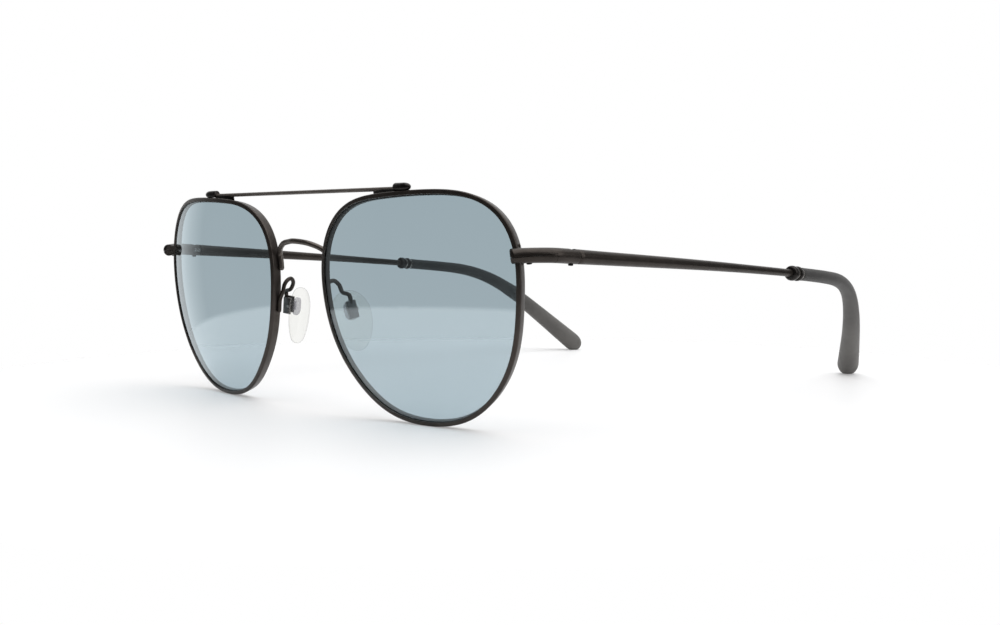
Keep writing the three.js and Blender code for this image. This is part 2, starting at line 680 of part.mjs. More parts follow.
// a piece that rests on the table is cut flat at the floor
function put(name, body, makeMaterial, rests = false) {
  const leaned = place(body, lean);
  const posed = rests ? cut(leaned, underFloor) : leaned;
  const mesh = new THREE.Mesh(posed.translate(0, -MIDDLE_Y, -FLOOR_Z), makeMaterial());
  mesh.name = name;
  group.add(mesh);
}

function pair(name, body, makeMaterial, rests = false) {
  put(`${name}_left`, body, makeMaterial, rests);
  put(`${name}_right`, mirrored(body), makeMaterial, rests);
}

pair('rim', makeRim(), gunmetal, true);
pair('lens', makeLens(), glass);
put('bridge', makeBridge(), gunmetal);
put('brow_bar', makeBrowBar(), gunmetal);
pair('brow_bar_cap', makeBarCap(), darkMetal);
pair('brow_bar_lug', makeBarLug(), darkMetal);
pair('endpiece', makeEndpiece(), gunmetal);
pair('closing_block', makeClosingBlock(), gunmetal);
pair('closing_screw', makeClosingScrew(), darkMetal);
pair('hinge_screw', makeHingeScrew(), darkMetal);
pair('hinge_tongue', makeTongue(), brightMetal);
pair('temple_arm', makeArm(), gunmetal);
pair('tip_collar', makeSleeve(COLLAR_PROFILE, COLLAR_START, RING_START), darkMetal);
pair('tip_ring', makeSleeve(RING_PROFILE, RING_START, TIP_START), darkMetal);
pair('temple_tip', makeTip(), rubber, true);
pair('pad_arm', makePadArm(), gunmetal);
pair('pad_box', makePadBox(), darkMetal);
pair('pad_screw', makePadScrew(), brightMetal);
pair('nose_pad', makeNosePad(), silicone);
pair('nose_pad_core', makePadCore(), padCoreMaterial);

export default group;
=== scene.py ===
# Wire-rimmed glasses with a brow bar, open on a round table.
# Built in millimetres in the frame's own upright axes: the front faces -Y, the temples run
# back along +Y, Z is up and the "left" pieces lie at +X; "right" pieces are mirrored in X.
# world() tilts the whole about X and turns it into metres, with the table at Z = 0.
import bpy
import math
import numpy as np
from mathutils import Matrix

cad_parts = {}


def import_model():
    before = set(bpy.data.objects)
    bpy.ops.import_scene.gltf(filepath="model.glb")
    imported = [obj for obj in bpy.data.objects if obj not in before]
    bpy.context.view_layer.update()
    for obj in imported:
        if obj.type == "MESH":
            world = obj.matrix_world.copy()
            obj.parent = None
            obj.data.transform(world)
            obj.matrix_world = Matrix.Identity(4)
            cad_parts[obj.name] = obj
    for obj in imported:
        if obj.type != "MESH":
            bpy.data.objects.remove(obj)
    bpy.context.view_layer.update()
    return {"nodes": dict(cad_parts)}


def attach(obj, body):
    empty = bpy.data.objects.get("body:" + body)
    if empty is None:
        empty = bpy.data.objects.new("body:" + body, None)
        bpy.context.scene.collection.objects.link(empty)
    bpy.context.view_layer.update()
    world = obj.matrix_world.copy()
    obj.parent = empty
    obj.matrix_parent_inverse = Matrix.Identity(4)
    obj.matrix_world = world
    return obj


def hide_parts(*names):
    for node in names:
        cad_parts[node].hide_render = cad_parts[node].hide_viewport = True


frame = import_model()


def vec(*values):
    return np.array(values, float)


def unit(v):
    return v / np.linalg.norm(v)


# ------------------------------------------------------------------ dimensions (mm)
LEAN = 0.1110                       # tilt about X, radians
FLOOR_Z, MID_Y = -23.07, 73.699     # in tilted axes: table height, and the Y put at world 0

# lens sphere: centre of the lens in X, turn of the lens about Z, sphere radius
LENS_X, FACE_FORM, LENS_R = 35.52, math.radians(6.727), 88.0
# lens outline: radius about the lens centre as a mean plus (cos, sin) waves of order 1 to 7;
# the angle runs from the temple side upwards
OUTLINE_MEAN = 24.738
OUTLINE_WAVES = [(0.358, 1.245), (1.276, -0.227), (-0.215, 1.365), (-0.837, -0.082),
                 (-0.055, -0.063), (-0.118, 0.005), (0.009, -0.157)]
RIM_W, RIM_D = 0.98, 2.45           # across the outline, front to back
GROOVE_FRONT, GROOVE_BACK, GROOVE_DEPTH = -0.70, -1.60, 0.44
SPLIT_DEG, SPLIT_GAP = 22.7, 0.45   # where the eyewire is open, degrees

BRIDGE_R = 0.59
BAR_R, BAR_Y, BAR_Z, BAR_HALF = 0.42, 4.0, 23.93, 33.6
BEAD_X0, BEAD_X1, BEAD_Z = 32.1, 36.6, 24.23

HINGE = vec(65.9, 16.6, 9.3)
TEMPLE_R, TEMPLE_L = 1.43, 145.4
BUTT, FORK_END = 1.47, 1.40         # along the temple: arm start, endpiece end
COLLAR_S, TIP_S = 71.6, 75.9        # along the temple: collar start, rubber start
# (distance along the temple, degrees downwards)
PITCH = np.array([
    [0, 9.9], [25, 9.94], [40, 10.29], [50, 10.59], [60, 10.75], [70, 10.92], [80, 11.26],
    [86, 11.74], [91, 12.44], [94, 14.18], [97, 17.51], [100, 21.12], [103, 24.87],
    [106, 29.06], [109, 33.06], [112, 36.67], [115, 40.33], [119, 43.27], [125, 44.41],
    [132, 44.94], [145.4, 45.01]])
# (distance along the temple, degrees inwards)
YAW = np.array([
    [0, -2.8], [30, -2.78], [42, -2.2], [55, -1.04], [65, -0.29], [75, 0.86], [80, 2.31],
    [85, 4.78], [90, 7.83], [95, 11.05], [100, 14.84], [105, 19.37], [110, 23.9],
    [115, 27.66], [122, 32.01], [130, 35.3], [145.4, 37.11]])
SPLIT_Z, LOCK_Y = 10.39, 12.0       # top and back of the closing half

PAD_C, PAD_SPLAY = vec(10.05, 7.95, -4.1), math.radians(26)
PAD_L, PAD_W = 13.2, 8.5
PAD_ARM_R = 0.45
PIVOT_Y, PIVOT_Z = -2.1, -2.45      # in the pad's own axes

X, Y, Z = np.eye(3)
TILT = np.array([[1, 0, 0],
                 [0, math.cos(LEAN), -math.sin(LEAN)],
                 [0, math.sin(LEAN), math.cos(LEAN)]])
SIDES = ("left", "right")
CUT_SHARP = 38                      # sharp-edge angle of the boolean pieces, degrees


# ------------------------------------------------------------------ rings, skins, curves
# A mesh is passed around as (vertices, faces).
def world(v):
    return (np.asarray(v, float) @ TILT.T - vec(0, MID_Y, FLOOR_Z)) / 1000.0


def xyz(x, y, z):
    """points from coordinates that may be arrays or single numbers"""
    return np.stack(np.broadcast_arrays(x, y, z), -1)


def circle(centre, radius, side, up, segments):
    a = np.linspace(0, 2 * math.pi, segments, endpoint=False)
    return centre + radius * (np.cos(a)[:, None] * side + np.sin(a)[:, None] * up)


def superellipse(segments, exponent):
    a = np.linspace(0, 2 * math.pi, segments, endpoint=False)
    return [np.sign(q) * np.abs(q) ** exponent for q in (np.cos(a), np.sin(a))]


def skin(rings, close_ends=True):
    """faces over a row of equal rings; flat ends become one face each"""
    seg, count = len(rings[0]), len(rings)
    faces = []
    for i in range(count - 1):
        near, far = i * seg, (i + 1) * seg
        for j in range(seg):
            k = (j + 1) % seg
            faces.append((near + j, near + k, far + k, far + j))
    if close_ends:
        faces.append(tuple(range(seg))[::-1])
        faces.append(tuple(range((count - 1) * seg, count * seg)))
    return np.concatenate(rings), faces


def skin_poles(rings, first_pole, last_pole):
    """skin whose ends close in fans to a point"""
    verts, faces = skin(rings, close_ends=False)
    seg, total = len(rings[0]), len(verts)
    last = total - seg
    for j in range(seg):
        k = (j + 1) % seg
        faces.append((total, k, j))
        faces.append((total + 1, last + j, last + k))
    return np.concatenate([verts, [first_pole, last_pole]]), faces


def merge(*meshes):
    all_verts, all_faces, start = [], [], 0
    for verts, faces in meshes:
        all_verts.append(verts)
        all_faces += [tuple(i + start for i in face) for face in faces]
        start += len(verts)
    return np.concatenate(all_verts), all_faces


def round_poly(points, radii, steps):
    """2D polygon with rounded corners"""
    out = []
    count = len(points)
    for i in range(count):
        corner, before, after = vec(*points[i]), vec(*points[i - 1]), vec(*points[(i + 1) % count])
        if radii[i] <= 0:
            out.append(corner)
            continue
        u, w = unit(before - corner), unit(after - corner)
        half = math.acos(max(-1, min(1, float(u @ w)))) / 2
        reach = min(radii[i] / math.tan(half), 0.49 * np.linalg.norm(before - corner),
                    0.49 * np.linalg.norm(after - corner))
        radius = reach * math.tan(half)
        centre = corner + unit(u + w) * (radius / math.sin(half))
        start = math.atan2(*(corner + u * reach - centre)[::-1])
        end = math.atan2(*(corner + w * reach - centre)[::-1])
        turn = (end - start + math.pi) % (2 * math.pi) - math.pi
        for j in range(steps + 1):
            t = start + turn * j / steps
            out.append(centre + radius * vec(math.cos(t), math.sin(t)))
    return np.array(out)


def between(t, t0, t1, a, b):
    return (t1 - t) / (t1 - t0) * a + (t - t0) / (t1 - t0) * b


def catmull(points, count):
    """centripetal Catmull-Rom curve through points, sampled evenly by length"""
    P = np.array(points, float)
    P = np.vstack([2 * P[0] - P[1], P, 2 * P[-1] - P[-2]])
    out = []
    for i in range(1, len(P) - 2):
        p0, p1, p2, p3 = P[i - 1:i + 3]
        t = [0.0]
        for a, b in ((p0, p1), (p1, p2), (p2, p3)):
            t.append(t[-1] + max(1e-6, np.linalg.norm(b - a) ** 0.5))
        for k in range(24):
            x = t[1] + (t[2] - t[1]) * k / 24
            a1 = between(x, t[0], t[1], p0, p1)
            a2 = between(x, t[1], t[2], p1, p2)
            a3 = between(x, t[2], t[3], p2, p3)
            b1 = between(x, t[0], t[2], a1, a2)
            b2 = between(x, t[1], t[3], a2, a3)
            out.append(between(x, t[1], t[2], b1, b2))
    out.append(P[-2])
    out = np.array(out)
    length = np.r_[0, np.cumsum(np.linalg.norm(np.diff(out, axis=0), axis=1))]
    wanted = np.linspace(0, length[-1], count)
    return np.stack([np.interp(wanted, length, out[:, k]) for k in range(3)], 1)


def swept(path, radius, segments, round_ends=False):
    """round wire with rotation-minimising rings"""
    tangents = np.gradient(path, axis=0)
    tangents /= np.linalg.norm(tangents, axis=1)[:, None]
    side = Z - (Z @ tangents[0]) * tangents[0]
    if np.linalg.norm(side) < 1e-3:     # the path starts straight up or down
        side = X - tangents[0][0] * tangents[0]
    sides = [unit(side)]
    for t in tangents[1:]:
        sides.append(unit(sides[-1] - (sides[-1] @ t) * t))

    def ring(i, ahead, r):
        t = tangents[i]
        return circle(path[i] + ahead * t, r, sides[i], np.cross(t, sides[i]), segments)

    rings = [ring(i, 0.0, radius) for i in range(len(path))]
    if round_ends:
        dome = [(radius * math.cos(k * math.pi / 2), radius * math.sin(k * math.pi / 2))
                for k in (0.12, 0.35, 0.6, 0.82, 0.95)]
        rings = ([ring(0, -ahead, r) for ahead, r in dome] + rings
                 + [ring(-1, ahead, r) for ahead, r in dome[::-1]])
    return skin(rings)


def block(x_span, y_span, z_span):
    verts = np.array([[x, y, z] for x in x_span for y in y_span for z in z_span], float)
    return verts, [(0, 1, 3, 2), (4, 6, 7, 5), (0, 4, 5, 1),
                   (2, 3, 7, 6), (0, 2, 6, 4), (1, 5, 7, 3)]


def rest_flat(verts):
    """presses what lies below the table up to it, in place"""
    height = verts @ TILT[2]
    low = height < FLOOR_Z
    verts[low] += (FLOOR_Z - height[low])[:, None] * TILT[2]


# ------------------------------------------------------------------ Blender objects
def new_object(name, mesh, side=None):
    """linked object with outward faces; the right side is the mirror of the left"""
    verts, faces = mesh
    if side == "right":
        verts = verts * vec(-1, 1, 1)
        faces = [face[::-1] for face in faces]
    points = world(verts)
    data = bpy.data.meshes.new(name)
    data.from_pydata(points.tolist(), [], faces)
    data.validate()
    volume = 0.0
    for face in faces:
        for k in range(1, len(face) - 1):
            a, b, c = points[face[0]], points[face[k]], points[face[k + 1]]
            volume += float(np.dot(a, np.cross(b, c)))
    if volume < 0:
        data.flip_normals()
    o = bpy.data.objects.new(name, data)
    bpy.context.scene.collection.objects.link(o)
    return o


def smooth(data, sharp):
    data.shade_smooth()
    data.set_sharp_from_angle(angle=math.radians(sharp))


def add_piece(name, mesh, material, slot, replaced=None, body="front", sharp=50, side=None):
    """one piece; with a side, its name, the CAD piece it replaces and any body but the
    front take the side's suffix"""
    suffix = f"_{side}" if side else ""
    o = new_object(name + suffix, mesh, side)
    smooth(o.data, sharp)
    o.data.materials.append(material)
    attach(o, body if body == "front" else body + suffix)
    if replaced:
        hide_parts(replaced + suffix)
    return o


def add_pairs(*pieces):
    for side in SIDES:
        for piece in pieces:
            add_piece(**piece, side=side)


def boolean(obj, cutters, operation="DIFFERENCE"):
    """applies cutters to obj and removes them"""
    for cutter in cutters:
        modifier = obj.modifiers.new("cut", "BOOLEAN")
        modifier.operation, modifier.solver, modifier.object = operation, "EXACT", cutter
    bpy.context.view_layer.update()
    depsgraph = bpy.context.evaluated_depsgraph_get()
    data = bpy.data.meshes.new_from_object(obj.evaluated_get(depsgraph))
    obj.modifiers.clear()
    old = obj.data
    materials = list(old.materials)
    obj.data = data
    data.materials.clear()
    for material in materials:
        data.materials.append(material)
    for polygon in data.polygons:
        polygon.material_index = 0
    data.name = obj.name
    bpy.data.meshes.remove(old)
    smooth(data, CUT_SHARP)
    for cutter in cutters:
        cutter_data = cutter.data
        bpy.data.objects.remove(cutter)
        bpy.data.meshes.remove(cutter_data)
    return obj


# ------------------------------------------------------------------ shader helpers
class Shader:
    """an emptied node tree with its output; helpers add nodes and return an output socket"""

    def __init__(self, tree, output="OutputMaterial"):
        self.nodes, self.links = tree.nodes, tree.links
        self.nodes.clear()
        self.out = self.node(output)

    def node(self, kind, inputs=None, **settings):
        """inputs: by name or number, a socket to link or a value to set"""
        node = self.nodes.new("ShaderNode" + kind)
        for key, value in settings.items():
            setattr(node, key, value)
        for key, value in (inputs or {}).items():
            socket = node.inputs[key]
            if isinstance(value, bpy.types.NodeSocket):
                self.links.new(value, socket)
            else:
                socket.default_value = (*value, 1) if socket.type == "RGBA" else value
        return node

    def finish(self, surface):
        self.links.new(surface, self.out.inputs[0])

    def coords(self):
        place = self.node("TexCoord").outputs["Object"]
        return self.node("Mapping", {"Vector": place}).outputs["Vector"]

    def noise(self, at, scale, detail=4, roughness=0.6):
        return self.node("TexNoise", {"Vector": at, "Scale": scale, "Detail": detail,
                                      "Roughness": roughness}).outputs["Fac"]

    def wobble(self, at, scale, detail, amount):
        """noise about zero, times amount"""
        centred = self.math("SUBTRACT", self.noise(at, scale, detail), 0.5)
        return self.math("MULTIPLY", centred, amount)

    def ramp(self, fac, stops):
        """stops: (position, colour)"""
        node = self.node("ValToRGB", {"Fac": fac})
        elements = node.color_ramp.elements
        while len(elements) > 1:
            elements.remove(elements[-1])
        for i, (position, colour) in enumerate(stops):
            element = elements[0] if i == 0 else elements.new(position)
            element.position = position
            element.color = (*colour, 1)
        return node.outputs["Color"]

    def fade(self, fac, low, high):
        """black at low to white at high"""
        return self.ramp(fac, [(low, (0, 0, 0)), (high, (1, 1, 1))])

    def mix(self, a, b, fac, blend="MIX"):
        return self.node("Mix", {6: a, 7: b, 0: fac},
                         data_type="RGBA", blend_type=blend).outputs[2]

    def mix_shader(self, fac, a, b):
        return self.node("MixShader", {0: fac, 1: a, 2: b}).outputs[0]

    def math(self, operation, a, b=None, clamp=False):
        inputs = {0: a} if b is None else {0: a, 1: b}
        return self.node("Math", inputs, operation=operation, use_clamp=clamp).outputs[0]

    def vector(self, operation, *inputs):
        return self.node("VectorMath", dict(enumerate(inputs)), operation=operation).outputs

    def map_range(self, value, low, high, to_low=0.0, to_high=1.0, kind="LINEAR"):
        return self.node("MapRange", {"Value": value, "From Min": low, "From Max": high,
                                      "To Min": to_low, "To Max": to_high},
                         interpolation_type=kind).outputs[0]

    def bump(self, height, strength, distance):
        return self.node("Bump", {"Height": height, "Strength": strength,
                                  "Distance": distance}).outputs["Normal"]

    def principled(self, **inputs):
        """input names with their spaces as underscores"""
        named = {key.replace("_", " "): value for key, value in inputs.items()}
        return self.node("BsdfPrincipled", named).outputs[0]


def new_material(name):
    material = bpy.data.materials.new(name)
    material.use_nodes = True
    return material, Shader(material.node_tree)


# ------------------------------------------------------------------ materials
def metal(name, base, patch, rough, worn, wear, metallic=0.85, grain=9000):
    """coated metal: base drifting to patch, fine blasted grain, edges lightened to worn"""
    material, s = new_material(name)
    at = s.coords()
    drift = s.noise(at, scale=260, detail=3)
    fine = s.noise(at, scale=grain, detail=3, roughness=0.7)
    colour = s.mix(base, patch, s.fade(drift, 0.35, 0.65))
    edge = s.fade(s.node("NewGeometry").outputs["Pointiness"], 0.53, 0.66)
    broken = s.fade(s.noise(at, scale=1400), 0.4, 0.62)
    colour = s.mix(colour, worn, s.math("MULTIPLY", edge, s.math("MULTIPLY", broken, wear)))
    s.finish(s.principled(
        Base_Color=colour, Metallic=metallic,
        Roughness=s.math("ADD", s.wobble(at, scale=900, detail=4, amount=0.22), rough),
        Normal=s.bump(fine, strength=0.35, distance=0.000012)))
    return material


gunmetal = metal("satin_gunmetal", base=(0.047, 0.0395, 0.0345), patch=(0.035, 0.0295, 0.026),
                 rough=0.38, worn=(0.14, 0.123, 0.108), wear=0.35)
# lighter copy of the satin gunmetal for the bridge wire: painted light, for the highlight along its
# top
wire_metal_painted_light = metal("satin_gunmetal_wire", base=(0.115, 0.099, 0.088),
                   patch=(0.088, 0.076, 0.068), rough=0.40, worn=(0.2, 0.178, 0.158), wear=0.35)
# lighter, less metallic copy of the satin gunmetal for the brow bar: painted light that the bar
# catches from above
bar_metal_painted_light = metal("satin_gunmetal_bar", base=(0.150, 0.129, 0.115), patch=(0.120, 0.104, 0.093),
                  rough=0.42, worn=(0.22, 0.195, 0.175), wear=0.35, metallic=0.3)
# lighter, less metallic copy of the satin gunmetal for the eyewires: painted light on their faces
rim_metal_painted_light = metal("satin_gunmetal_rim", base=(0.060, 0.0505, 0.0445),
                  patch=(0.045, 0.038, 0.0335), rough=0.38, worn=(0.15, 0.132, 0.116),
                  wear=0.35, metallic=0.72)
dark_metal = metal("satin_black_metal", base=(0.027, 0.024, 0.0225),
                   patch=(0.019, 0.0175, 0.0165), rough=0.33, worn=(0.14, 0.13, 0.12), wear=0.4)
bare_metal = metal("machined_steel", base=(0.42, 0.40, 0.38), patch=(0.33, 0.32, 0.31),
                   rough=0.28, worn=(0.6, 0.58, 0.55), wear=0.4, metallic=1.0, grain=6000)
ring_metal = metal("polished_ring", base=(0.24, 0.22, 0.20), patch=(0.19, 0.175, 0.16),
                   rough=0.24, worn=(0.4, 0.37, 0.34), wear=0.4, metallic=0.95, grain=6000)
cup_metal = metal("satin_nickel", base=(0.15, 0.143, 0.137), patch=(0.11, 0.105, 0.10),
                  rough=0.34, worn=(0.3, 0.28, 0.26), wear=0.4, metallic=0.95, grain=6000)


def rubber_material():
    material, s = new_material("matt_tip_rubber")
    at = s.coords()
    colour = s.mix((0.0385, 0.0372, 0.0360), (0.030, 0.029, 0.0281),
                   s.fade(s.noise(at, scale=180, detail=3), 0.35, 0.7))
    rubbed = s.fade(s.node("NewGeometry").outputs["Pointiness"], 0.52, 0.6)
    colour = s.mix(colour, (0.085, 0.084, 0.082), s.math("MULTIPLY", rubbed, 0.5))
    # painted light and shade by height: the lower ends are lightened and the necks darkened;
    # heights in metres
    height = s.node("SeparateXYZ", {0: at}).outputs["Z"]
    height = s.math("ADD", height, s.wobble(at, scale=120, detail=3, amount=0.004))
    low = s.map_range(height, low=0.029, high=0.010)
    # painted shade: the necks near the collar darkened
    painted_shade_neck = s.mix(colour, (0.42, 0.39, 0.37), 1.0, "MULTIPLY")
    # painted light: the lower ends lightened
    end = s.mix(colour, (3.0, 2.95, 2.85), 1.0, "MULTIPLY")
    colour = s.mix(painted_shade_neck, end, low)
    rough = s.math("ADD", s.wobble(at, scale=600, detail=4, amount=0.2), 0.62)
    cells = s.node("TexVoronoi", {"Scale": 4200, "Vector": at}).outputs["Distance"]
    grain = s.math("ADD", cells, s.noise(at, scale=7000, detail=3, roughness=0.7))
    s.finish(s.principled(
        Base_Color=colour, Roughness=rough, Specular_IOR_Level=0.5, Sheen_Weight=0.15,
        Sheen_Roughness=0.5, Normal=s.bump(grain, strength=0.35, distance=0.00002)))
    return material


LENS_F0 = 0.158         # reflectance seen straight on
LENS_TOP = 0.0465       # height where the tint is deepest, m
# tint passed by one skin of the lens, from the bottom to the top; its deepening towards the top is
# painted shade for the darker room reflected in the upper lens
LENS_STOPS = [(0.0, (0.622, 0.692, 0.724)), (0.5, (0.616, 0.686, 0.718)),
              (1.0, (0.604, 0.676, 0.708))]


def lens_material():
    """tinted glass with a pale blue reflection; each skin passes half the tint"""
    material, s = new_material("tinted_lens")
    at = s.coords()
    height = s.map_range(s.node("SeparateXYZ", {0: at}).outputs["Z"], low=0.0, high=LENS_TOP)
    height = s.math("ADD", height, s.wobble(at, scale=30, detail=2, amount=0.05))
    # painted shade: the tint deepens towards the top of the lens
    tint = s.ramp(height, LENS_STOPS)
    straight = s.node("BsdfTransparent", {"Color": tint}).outputs[0]
    smear = s.fade(s.noise(at, scale=90, detail=5, roughness=0.65), 0.45, 0.75)
    rough = s.math("ADD", s.math("MULTIPLY", smear, 0.02), 0.045)
    mirror = s.node("BsdfGlossy", {"Color": (0.88, 0.96, 1.0), "Roughness": rough}).outputs[0]
    # reflectance F0 + (1 - F0)(1 - cos)^5, none on faces seen from inside the glass
    geometry = s.node("NewGeometry").outputs
    cosine = s.vector("DOT_PRODUCT", geometry["Normal"], geometry["Incoming"])["Value"]
    grazing = s.math("SUBTRACT", 1.0, s.math("ABSOLUTE", cosine), clamp=True)
    grazing = s.math("MULTIPLY", s.math("POWER", grazing, 5.0), 1.0 - LENS_F0)
    reflectance = s.math("ADD", grazing, LENS_F0)
    outside = s.math("SUBTRACT", 1.0, geometry["Backfacing"])
    reflectance = s.math("MULTIPLY", reflectance, outside, clamp=True)
    # sight is bent by the glass; shadow and diffuse rays pass straight
    bent = s.node("BsdfRefraction", {"IOR": 1.5, "Roughness": 0.0, "Color": tint}).outputs[0]
    seen = s.mix_shader(reflectance, bent, mirror)
    ray = s.node("LightPath").outputs
    passing = s.math("MAXIMUM", ray["Is Shadow Ray"], ray["Is Diffuse Ray"])
    s.finish(s.mix_shader(passing, seen, straight))
    return material


def silicone_material():
    """clear face on, whiter towards grazing angles"""
    material, s = new_material("clear_silicone")
    at = s.coords()
    tint = s.mix((0.985, 0.985, 0.975), (0.965, 0.965, 0.95), s.noise(at, scale=400, detail=3))
    clear = s.node("BsdfTransparent", {"Color": tint}).outputs[0]
    milky = s.principled(
        Base_Color=(0.33, 0.33, 0.325), Roughness=0.22,
        Subsurface_Weight=0.4, Subsurface_Radius=(0.002, 0.002, 0.0018),
        Normal=s.bump(s.noise(at, scale=1500, detail=3), strength=0.2, distance=0.00003))
    facing = s.node("LayerWeight", {"Blend": 0.32}).outputs["Facing"]
    milkiness = [(0.0, 0.02), (0.35, 0.03), (0.5, 0.10), (0.7, 0.42), (1.0, 0.85)]
    fac = s.ramp(facing, [(position, (grey,) * 3) for position, grey in milkiness])
    s.finish(s.mix_shader(fac, clear, milky))
    return material


def insert_material():
    """mostly clear grey plastic"""
    material, s = new_material("pad_insert")
    at = s.coords()
    clear = s.node("BsdfTransparent", {"Color": (0.88, 0.88, 0.90)}).outputs[0]
    plastic = s.principled(
        Base_Color=s.mix((0.32, 0.32, 0.34), (0.25, 0.25, 0.27), s.noise(at, scale=700)),
        Roughness=0.35,
        Normal=s.bump(s.noise(at, scale=5000, detail=3), strength=0.3, distance=0.00001))
    opacity = 0.26
    s.finish(s.mix_shader(opacity, clear, plastic))
    return material


rubber = rubber_material()
lens_glass = lens_material()
silicone = silicone_material()
insert_plastic = insert_material()


# ------------------------------------------------------------------ the curved front
def outline_r(angles):
    r = OUTLINE_MEAN * np.ones_like(angles)
    for k, (cos_part, sin_part) in enumerate(OUTLINE_WAVES, 1):
        r = r + cos_part * np.cos(k * angles) + sin_part * np.sin(k * angles)
    return r


def on_sphere(r, angles):
    """points and forward normals of the lens sphere, polar about the lens centre"""
    cf, sf = math.cos(FACE_FORM), math.sin(FACE_FORM)
    u, v = r * np.cos(angles), r * np.sin(angles)
    sag = LENS_R - np.sqrt(LENS_R ** 2 - u * u - v * v)
    points = xyz(LENS_X + u * cf - sag * sf, u * sf + sag * cf, v)
    a, b, c = u / LENS_R, (sag - LENS_R) / LENS_R, v / LENS_R
    return points, xyz(a * cf - b * sf, a * sf + b * cf, c)


def stations(angles):
    """points on the outline, forward normals, and directions out of the lens"""
    angles = np.atleast_1d(np.asarray(angles, float))
    points, normals = on_sphere(outline_r(angles), angles)
    before, after = [on_sphere(outline_r(a), a)[0] for a in (angles - 1e-4, angles + 1e-4)]
    tangents = after - before
    tangents /= np.linalg.norm(tangents, axis=1)[:, None]
    outward = np.cross(tangents, normals)
    outward /= np.linalg.norm(outward, axis=1)[:, None]
    radial = xyz(np.cos(angles) * math.cos(FACE_FORM), np.cos(angles) * math.sin(FACE_FORM),
                 np.sin(angles))
    outward *= np.sign((outward * radial).sum(1))[:, None]
    return points, normals, outward


def offset(at, out, forward):
    points, normals, outward = at
    return points + out * outward + forward * normals


def off_rim(degrees, out, forward):
    """point off the outer face of the eyewire"""
    return offset(stations(math.radians(degrees)), RIM_W + out, forward)[0]


# eyewires, open at the split
rim_profile = round_poly(
    [(0, 0), (RIM_W, 0), (RIM_W, -RIM_D), (0, -RIM_D), (0, GROOVE_BACK),
     (GROOVE_DEPTH, GROOVE_BACK), (GROOVE_DEPTH, GROOVE_FRONT), (0, GROOVE_FRONT)],
    [0.10, 0.34, 0.34, 0.10, 0.04, 0.05, 0.05, 0.04], 5)
rim_start = math.radians(SPLIT_DEG + SPLIT_GAP / 2)
rim_end = rim_start + 2 * math.pi - math.radians(SPLIT_GAP)
rim = skin([point + rim_profile[:, :1] * outward + rim_profile[:, 1:] * normal
            for point, normal, outward in zip(*stations(np.linspace(rim_start, rim_end, 300)))])
rest_flat(rim[0])
add_pairs(dict(name="eyewire", mesh=rim, material=rim_metal_painted_light, slot="frame_metal",
               replaced="rim"))

# lenses, with a ridge that sits in the groove
LENS_FRONT, LENS_BACK = -0.34, -1.76
RIDGE_FRONT, RIDGE_BACK, RIDGE = GROOVE_FRONT - 0.05, GROOVE_BACK + 0.05, GROOVE_DEPTH - 0.07
LENS_STEPS = (0.08, 0.2, 0.35, 0.5, 0.65, 0.78, 0.88, 0.95)     # share of the outline radius
# (out from the outline, along the forward normal), front to back
LENS_EDGE = [
    (-0.45, LENS_FRONT), (-0.20, LENS_FRONT), (-0.02, LENS_FRONT), (-0.02, RIDGE_FRONT),
    (RIDGE - 0.05, RIDGE_FRONT), (RIDGE, RIDGE_FRONT - 0.06), (RIDGE, RIDGE_BACK + 0.06),
    (RIDGE - 0.05, RIDGE_BACK), (-0.02, RIDGE_BACK), (-0.02, LENS_BACK), (-0.20, LENS_BACK),
    (-0.45, LENS_BACK)]
lens_angles = np.linspace(0, 2 * math.pi, 240, endpoint=False)
lens_stations = stations(lens_angles)


def lens_ring(share, forward):
    points, normals = on_sphere(outline_r(lens_angles) * share, lens_angles)
    return points + forward * normals


lens_rings = ([lens_ring(share, LENS_FRONT) for share in LENS_STEPS]
              + [offset(lens_stations, out, forward) for out, forward in LENS_EDGE]
              + [lens_ring(share, LENS_BACK) for share in LENS_STEPS[::-1]])
lens_centre, lens_axis = on_sphere(0.0, 0.0)
lens = skin_poles(lens_rings, lens_centre + LENS_FRONT * lens_axis,
                  lens_centre + LENS_BACK * lens_axis)
add_pairs(dict(name="tinted_lens", mesh=lens, material=lens_glass, slot="lens_tint",
               replaced="lens", sharp=12))

# bridge wire: points from the middle to the left eyewire, mirrored to the right
bridge_half = [vec(0, 1.08, 13.76), vec(2.2, 1.53, 13.56), vec(4.4, 1.84, 13.2),
               vec(6.4, 2.52, 12.48), vec(7.7, 3.0, 11.75)]
bridge_half += [off_rim(degrees, BRIDGE_R, forward)
                for degrees, forward in ((157.6, -1.95), (160.5, -2.0), (163.4, -2.0))]
bridge_points = [q * vec(-1, 1, 1) for q in bridge_half[:0:-1]] + bridge_half
add_piece("bridge_wire", swept(catmull(bridge_points, 170), BRIDGE_R, 24, round_ends=True),
          wire_metal_painted_light, "frame_metal", "bridge")

# brow bar
bar_path = xyz(np.linspace(-BAR_HALF, BAR_HALF, 60), BAR_Y, BAR_Z)
add_piece("brow_bar_wire", swept(bar_path, BAR_R, 24), bar_metal_painted_light, "frame_metal", "brow_bar")

# end beads, turned about X: (radius, distance from the inner end)
BEAD_PROFILE = [
    (0.60, 0.0), (0.74, 0.04), (0.82, 0.13), (0.85, 0.28), (0.85, 2.4), (0.84, 2.8),
    (0.80, 3.25), (0.73, 3.62), (0.62, 3.95), (0.47, 4.22), (0.28, 4.41), (0.12, 4.48)]
bead = skin_poles([circle(vec(BEAD_X0 + h, BAR_Y, BEAD_Z), r, Z, -Y, 40)
                   for r, h in BEAD_PROFILE],
                  vec(BEAD_X0, BAR_Y, BEAD_Z), vec(BEAD_X1, BAR_Y, BEAD_Z))
bead[0][:, 2] = np.maximum(bead[0][:, 2], BEAD_Z - 0.72)    # flat underside on the eyewire

